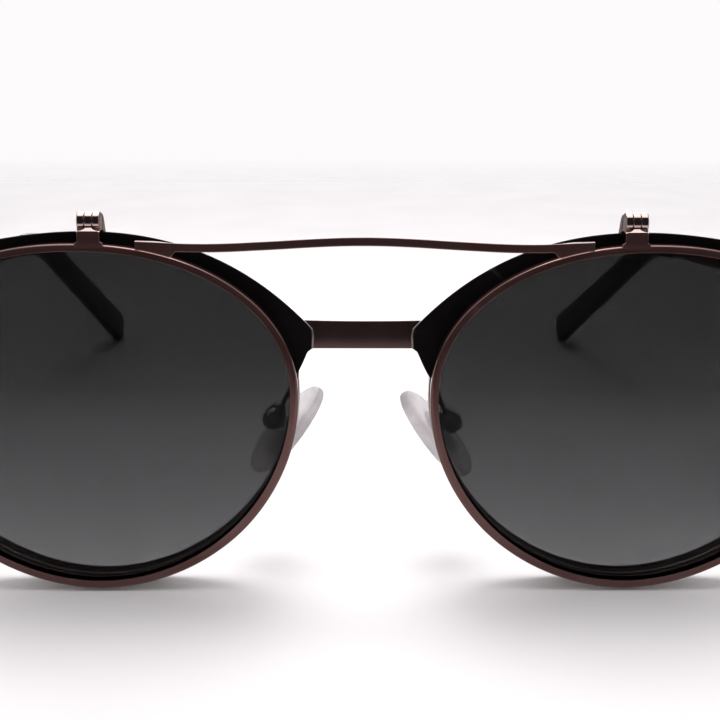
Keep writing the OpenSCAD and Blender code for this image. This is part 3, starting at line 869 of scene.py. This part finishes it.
def temple(side):
    """The metal arm and its plastic tip, turned a little about the hinge screw."""
    endpiece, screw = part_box(side + "_endpiece"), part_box(side + "_hinge_screw")
    outer = max(abs(corner.x) for corner in endpiece)
    hinge = Vector((abs(screw[0].x + screw[1].x) / 2, (screw[0].y + screw[1].y) / 2,
                    (endpiece[0].z + endpiece[1].z) / 2))
    skew = math.radians(TEMPLE_SKEW[side])
    lean = math.radians(TEMPLE_LEAN) + skew
    root = hinge + Matrix.Rotation(skew, 3, "Z") @ Vector((outer - ARM_T * MM - hinge.x, 0.1 * MM, 0))
    arm_s = [TIP_FROM * i / 60 for i in range(61)]
    arm_h = [ARM_HALF[0] - (ARM_HALF[0] - ARM_HALF[1]) * s / TIP_FROM for s in arm_s]
    arm = temple_band(side + "_temple_bar", SIDES[side], root, lean, arm_s, arm_h,
                      [ARM_T / 2] * len(arm_s), ARM_EDGE_R)
    finish_piece(arm, side + "_temple", "bronze_metal", side + "_temple_arm")

    tip_s, tip_h, tip_t = tip_shape()
    tip = temple_band(side + "_temple_sock", SIDES[side], root, lean, tip_s, tip_h, tip_t, TIP_EDGE_R)
    finish_piece(tip, side + "_temple", "tip_black", side + "_temple_tip")


def tip_shape():
    """Distances along the temple, half-heights and half-thicknesses of its tip, with a round end."""
    (start_half, end_half), length = TIP_HALF, TIP_END - TIP_FROM
    stations = [TIP_FROM - 0.02 + length * i / 60 for i in range(61)]
    halves = [start_half + (end_half - start_half) * (s - TIP_FROM) / length for s in stations]
    nose = [end_half * math.sin(math.radians(6 * k)) for k in range(1, 15)]
    stations += [TIP_END + d for d in nose]
    halves += [math.sqrt(max(end_half ** 2 - d * d, 0.05)) for d in nose]
    half_ts = []
    for s in stations:
        start = min(1, 0.78 + (s - TIP_FROM) * 0.15)
        end = math.sqrt(max(1 - (max(s - TIP_END, 0) / end_half) ** 2, 0.06))
        half_ts.append(TIP_HALF_T * start * end)
    return stations, halves, half_ts


def pad_frame(side):
    """From a pad's own frame in mm, its x along the cup's axis, to the row frame's directions."""
    tilt = Matrix.Rotation(math.radians(-PAD_TILT), 4, "Y")
    splay = Matrix.Rotation(math.radians(-PAD_SPLAY), 4, "Z")
    mirror = Matrix.Diagonal((SIDES[side], 1, 1, 1))
    return mirror @ (tilt @ splay) @ Matrix.Scale(MM, 4)


def nose_pad(side):
    """A soft pillow with a thin rounded edge, wider at its lower end."""
    outline = []
    for i in range(64):
        t = 2 * math.pi * i / 64
        across = PAD_HALF_W * math.sin(t) * (1 - PAD_TAPER * math.cos(t))
        outline.append(Vector((across, PAD_LEN / 2 * math.cos(t))))
    levels = [(-h, share) for h, share in reversed(PAD_SWELL[1:])] + list(PAD_SWELL)
    sections = [[Vector((height * PAD_T / 2, share * p.x, share * p.y)) for p in outline]
                for height, share in levels]
    pad = loft(side + "_nose_pad_soft", sections, sharp=80)
    pad.data.transform(pad_frame(side))
    outward(pad.data)
    centre_on(pad, side + "_nose_pad")
    pad.data.transform(Matrix.Translation(PAD_SHIFT[side]))
    finish_piece(pad, side + "_pad", "silicone", side + "_nose_pad")


def pad_mount(side):
    """The round cup that holds the pad, open on its outer side, and the wire that carries it."""
    low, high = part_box(side + "_pad_box")
    centre = (low + high) / 2 + CUP_SHIFT[side]
    sections = [[Vector((along, u, v)) for u, v in circle(0, 0, r)] for along, r in CUP_PROFILE]
    cup = loft(side + "_pad_cup", sections, sharp=60)
    cup.data.transform(Matrix.Translation(centre) @ pad_frame(side))
    outward(cup.data)
    finish_piece(cup, "frame", "box_black", side + "_pad_box")

    mirror = Vector((SIDES[side], 1, 1))
    rim_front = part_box(side + "_rim")[0].y
    root = WIRE_ROOT * mirror + Vector((0, rim_front + WIRE_ROOT_BACK, 0))
    end = centre + pad_frame(side) @ Vector(WIRE_SOCKET)
    line = bezier((root, root + WIRE_LEAVES * mirror, end + WIRE_ARRIVES * mirror, end), 24)
    finish_piece(tube(side + "_pad_wire", line, WIRE_R), "frame", "bronze_metal", side + "_pad_arm")


def tube(name, line, radius):
    """A round wire along a line."""
    sections = []
    for i, p in enumerate(line):
        along = (line[min(i + 1, len(line) - 1)] - line[max(i - 1, 0)]).normalized()
        across = along.cross(Vector((1, 0, 0))).normalized()
        over = along.cross(across)
        sections.append([p + across * u + over * v for u, v in circle(0, 0, radius, 16)])
    return loft(name, sections)


def brow_screw_heads(side):
    """Small screws from behind, tucked below the brow's slope."""
    low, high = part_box(side + "_brow_screws")
    under = high.y - SCREW_HEAD_H * MM
    profile = [(low.y, SCREW_R), (under, SCREW_R), (under + 0.05 * MM, SCREW_HEAD_R),
               (high.y - 0.1 * MM, SCREW_HEAD_R), (high.y, 0.6), (high.y, 0.1)]
    for name, (x, z) in SCREW_SPOTS.items():
        sections = [[Vector((SIDES[side] * x * MM + u, y, z * MM + v)) for u, v in circle(0, 0, r * MM, 24)]
                    for y, r in profile]
        screw = loft(side + "_brow_screw_" + name, sections, sharp=40)
        finish_piece(screw, "frame", "steel", side + "_brow_screws")


def dress_nodes(nodes):
    """Bevelled edges and detailed materials for the CAD nodes that stay."""
    for name, obj in nodes.items():
        if obj.hide_render:
            continue
        kind = name.split("_", 1)[1]
        slot = NODE_SLOTS[kind]
        obj.data.materials.clear()
        obj.data.materials.append(MATERIALS["dark_screw" if kind == "pad_screw" else slot])
        if "custom_normal" in obj.data.attributes:
            obj.data.attributes.remove(obj.data.attributes["custom_normal"])
        obj.data.polygons.foreach_set("use_smooth", [True] * len(obj.data.polygons))
        weld = obj.modifiers.new("Weld", "WELD")
        weld.merge_threshold = 2e-6
        add_bevel(obj, NODE_BEVELS.get(kind, NODE_BEVEL) * MM)


def clip_and_rims(side, rim, clip):
    """The clip rim, the spectacle's rim, and the lens of each."""
    clip_low, clip_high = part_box(side + "_clip_rim")
    groove = (clip_low.y + CLIP_LIP, clip_high.y - CLIP_LIP)
    ring = rim_ring(side + "_clip_rim_ring", clip, clip_low.y, clip_high.y, CLIP_FACE, groove,
                    CLIP_INNER_R, CLIP_OUTER_R, clip_trim)
    finish_piece(ring, "clip_front", "bronze_metal", side + "_clip_rim")
    optical_rim(side, rim)
    for kind, outline, thickness, body in (("sun", clip, SUN_T, "clip_front"),
                                           ("clear", rim, CLEAR_T, "frame")):
        node = side + "_" + kind + "_lens"
        glass = lens(node + "_glass", outline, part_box(node)[0].y, thickness)
        finish_piece(glass, body, kind + "_lens", node)


# ---------------------------------------------------------------- room

def floor_material():
    """Pale paper with faint clouds and a painted shade darkening it behind the spectacles, fading into the
    white behind it.
    """
    m = Nodes("studio_floor")
    split = m.add("ShaderNodeSeparateXYZ")
    m.link(m.place, split.inputs["Vector"])
    clouds = m.mix(m.spread(m.noise(9, 4), 0, 1), (0.86, 0.835, 0.845), (0.9, 0.88, 0.887))
    # painted shade: the paper's colour darkens behind the spectacles, between two values of y
    shade_behind = m.spread(split.outputs["Y"], 0.0, 1.0, *FLOOR_SHADE)
    m.link(m.mix(shade_behind, clouds, (0.74, 0.705, 0.718)), m.shader.inputs["Base Color"])
    m.link(m.spread(m.noise(40, 3), 0.5, 0.65), m.shader.inputs["Roughness"])
    front, back = (m.spread(split.outputs["Y"], 1.0, 0.0, *lines) for lines in (FLOOR_FRONT, FLOOR_BACK))
    m.link(m.multiply(front, back), m.shader.inputs["Alpha"])
    return m.material


def room(low):
    """The floor, the world's light and three soft lamps."""
    place = (0, 0, low.z - FLOOR_BELOW)
    bpy.ops.mesh.primitive_circle_add(vertices=96, radius=FLOOR_RADIUS, fill_type="NGON", location=place)
    floor = bpy.context.object
    floor.name = "studio_floor"
    floor.data.materials.append(floor_material())

    studio_world()
    area_light("top", (0.0, -0.05, 0.42), (0, -0.05, 0.0), 0.4, 0.8, (1, 0.985, 0.98))
    area_light("main", (0.0, 0.07, 0.42), (0, -0.06, 0.0), 0.22, 0.85, (1, 0.985, 0.985))
    area_light("back", (0.0, 0.5, 0.5), (0, 0.45, 0.0), 0.6, 0.45, (1, 0.985, 0.985))


def studio_world():
    """White to the eye, even for soft light, and bright behind but dark in front for reflections."""
    world = bpy.data.worlds.new("studio")
    bpy.context.scene.world = world
    world.use_nodes = True
    tree = world.node_tree
    soft = tree.nodes["Background"]
    soft.inputs["Color"].default_value = (*WARM_WHITE, 1)
    soft.inputs["Strength"].default_value = SOFT_LIGHT
    seen, mirrored = (tree.nodes.new("ShaderNodeBackground") for _ in range(2))
    seen.inputs["Color"].default_value = (*SEEN_WHITE, 1)
    mirrored.inputs["Color"].default_value = (*WARM_WHITE, 1)
    where = tree.nodes.new("ShaderNodeTexCoord")
    split = tree.nodes.new("ShaderNodeSeparateXYZ")
    fall = tree.nodes.new("ShaderNodeMapRange")
    for end, (at, strength) in (("Min", MIRRORED_FROM), ("Max", MIRRORED_TO)):
        fall.inputs["From " + end].default_value = at
        fall.inputs["To " + end].default_value = strength
    tree.links.new(where.outputs["Generated"], split.inputs["Vector"])
    tree.links.new(split.outputs["Y"], fall.inputs["Value"])
    tree.links.new(fall.outputs["Result"], mirrored.inputs["Strength"])
    path = tree.nodes.new("ShaderNodeLightPath")
    below = soft
    for ray, shader in (("Is Glossy Ray", mirrored), ("Is Camera Ray", seen)):
        mix = tree.nodes.new("ShaderNodeMixShader")
        tree.links.new(path.outputs[ray], mix.inputs["Fac"])
        tree.links.new(below.outputs[0], mix.inputs[1])
        tree.links.new(shader.outputs[0], mix.inputs[2])
        below = mix
    tree.links.new(below.outputs[0], tree.nodes["World Output"].inputs["Surface"])


def area_light(name, place, aim, size, power, colour):
    data = bpy.data.lights.new("light_" + name, "AREA")
    data.shape = "DISK"
    data.size = size
    data.energy = power
    data.color = colour
    light = bpy.data.objects.new("light_" + name, data)
    bpy.context.scene.collection.objects.link(light)
    light.location = place
    light.rotation_euler = (Vector(aim) - Vector(place)).to_track_quat("-Z", "Y").to_euler()


def camera(low):
    """The camera in front of the spectacles, a little above them and looking down."""
    data = bpy.data.cameras.new("camera")
    data.lens = CAMERA_LENS
    data.sensor_width = 36
    data.clip_start = 0.01
    data.clip_end = 20
    obj = bpy.data.objects.new("camera", data)
    bpy.context.scene.collection.objects.link(obj)
    turn = (Matrix.Rotation(math.radians(-CAMERA_YAW), 4, "Z")
            @ Matrix.Rotation(math.radians(90 - CAMERA_PITCH), 4, "X")
            @ Matrix.Rotation(math.radians(CAMERA_ROLL), 4, "Z"))
    obj.matrix_world = Matrix.Translation((CAMERA_SIDE, low.y - CAMERA_AWAY, CAMERA_HEIGHT)) @ turn
    bpy.context.scene.camera = obj


# ---------------------------------------------------------------- build

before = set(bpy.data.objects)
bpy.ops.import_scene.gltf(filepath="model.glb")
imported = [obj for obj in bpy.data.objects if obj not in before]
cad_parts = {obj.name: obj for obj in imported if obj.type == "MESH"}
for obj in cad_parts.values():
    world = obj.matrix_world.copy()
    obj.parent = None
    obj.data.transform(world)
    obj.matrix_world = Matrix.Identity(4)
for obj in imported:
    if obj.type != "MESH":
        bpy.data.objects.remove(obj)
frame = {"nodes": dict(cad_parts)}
cad_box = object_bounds()
camera(cad_box[0])
bpy.context.scene.view_settings.view_transform = "Standard"
MATERIALS = make_materials()
room(cad_box[0])
for side_name in SIDES:
    the_rim = Rim(side_name, side_name + "_rim", side_name + "_clip_rim")
    the_clip = Rim(side_name, side_name + "_clip_rim", side_name + "_clip_rim")
    clip_and_rims(side_name, the_rim, the_clip)
    brow(side_name, the_rim)
    temple(side_name)
    nose_pad(side_name)
    pad_mount(side_name)
    brow_screw_heads(side_name)
    flip_hinge(side_name)
bridge()
brow_bar(the_clip)
dress_nodes(frame["nodes"])
